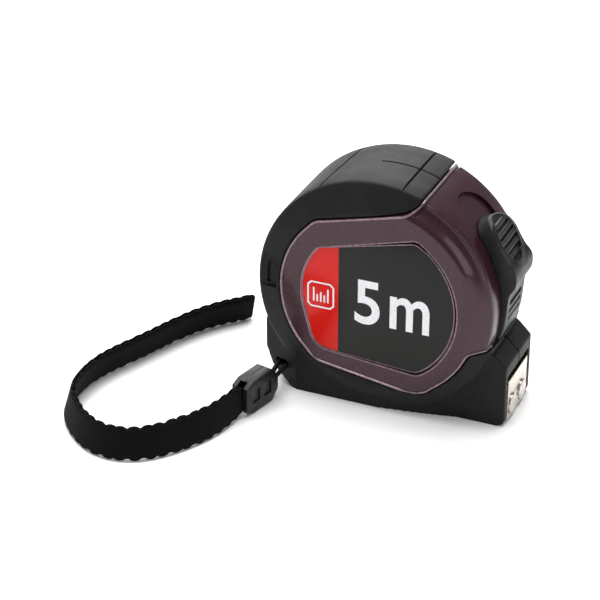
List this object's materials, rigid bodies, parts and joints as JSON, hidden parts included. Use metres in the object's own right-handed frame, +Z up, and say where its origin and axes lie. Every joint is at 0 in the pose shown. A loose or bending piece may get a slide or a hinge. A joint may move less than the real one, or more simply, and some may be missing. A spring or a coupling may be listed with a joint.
{
  "type": "tape measure",
  "caption": "Pocket tape measure with a round two-part case, rubber grip, sliding thumb lock, sprung steel blade with end hook, belt clip and a wrist strap.",
  "frame": {"origin": "on the flat base, under the reel's axis and in the plane where the case halves meet", "axes": "+X out of the mouth, along the blade; -Y towards the near label; +Z up"},
  "size_m": [0.1279, 0.0986, 0.075],
  "materials": {
    "plum_abs": "moulded, metallic plum, glossy",
    "grip_rubber": "overmoulded soft rubber, satin",
    "label_film": "printed film under a clear gloss",
    "black_pom": "moulded, fine grained",
    "button_plastic": "moulded, ribbed, satin",
    "zinc_steel": "zinc plated",
    "spring_steel": "blued strip",
    "drum_plastic": "moulded, natural white",
    "blade_lacquer": "yellow lacquer with a clear coat",
    "hook_nickel": "bright nickel plated",
    "clip_steel": "nickel plated spring steel, satin",
    "webbing": "woven black polyester with looped edges"
  },
  "bodies": {
    "case": {"left_shell": "plum_abs", "right_shell": "plum_abs", "left_grip": "grip_rubber", "right_grip": "grip_rubber", "left_label": "label_film", "right_label": "label_film", "mouth_guide": "black_pom", "hook_bumper": "grip_rubber", "case_screws": "zinc_steel", "spindle": "zinc_steel", "power_spring": "spring_steel", "detent_spring": "spring_steel", "belt_clip": "clip_steel", "clip_screw": "zinc_steel", "anchor_rod": "zinc_steel", "anchor_cord": "webbing", "clamp_front": "black_pom", "clamp_back": "black_pom", "wrist_strap": "webbing"},
    "reel": {"reel_drum": "drum_plastic", "reel_cover": "drum_plastic", "blade_coil": "blade_lacquer"},
    "blade": {"blade_tongue": "blade_lacquer", "hook_rivets": "zinc_steel"},
    "hook": {"end_hook": "hook_nickel", "hook_magnets": "hook_nickel"},
    "lock": {"lock_button": "button_plastic", "brake_arm": "black_pom", "brake_pad": "grip_rubber"}
  },
  "joints": [
    {"name": "reel_spin", "type": "hinge", "parent": "case", "child": "reel", "pos_m": [0, 0, 0.037], "axis": [0, -1, 0], "range_deg": [0, 12732], "stiffness_Nm_per_rad": 0.0005, "springref_deg": -10313.24, "deforming": ["power_spring"]},
    {"name": "blade_pull", "type": "slide", "parent": "case", "child": "blade", "axis": [1, 0, 0], "range_m": [0, 5], "deforming": ["blade_tongue"]},
    {"name": "hook_play", "type": "slide", "parent": "blade", "child": "hook", "axis": [1, 0, 0], "range_m": [0, 0.001]},
    {"name": "lock_slide", "type": "hinge", "parent": "case", "child": "lock", "pos_m": [0, 0, 0.037], "axis": [0, -1, 0], "range_deg": [0, 10]}
  ],
  "couplings": [
    {"joint": "blade_pull", "follows": "reel_spin", "m_per_rad": 0.0225}
  ]
}
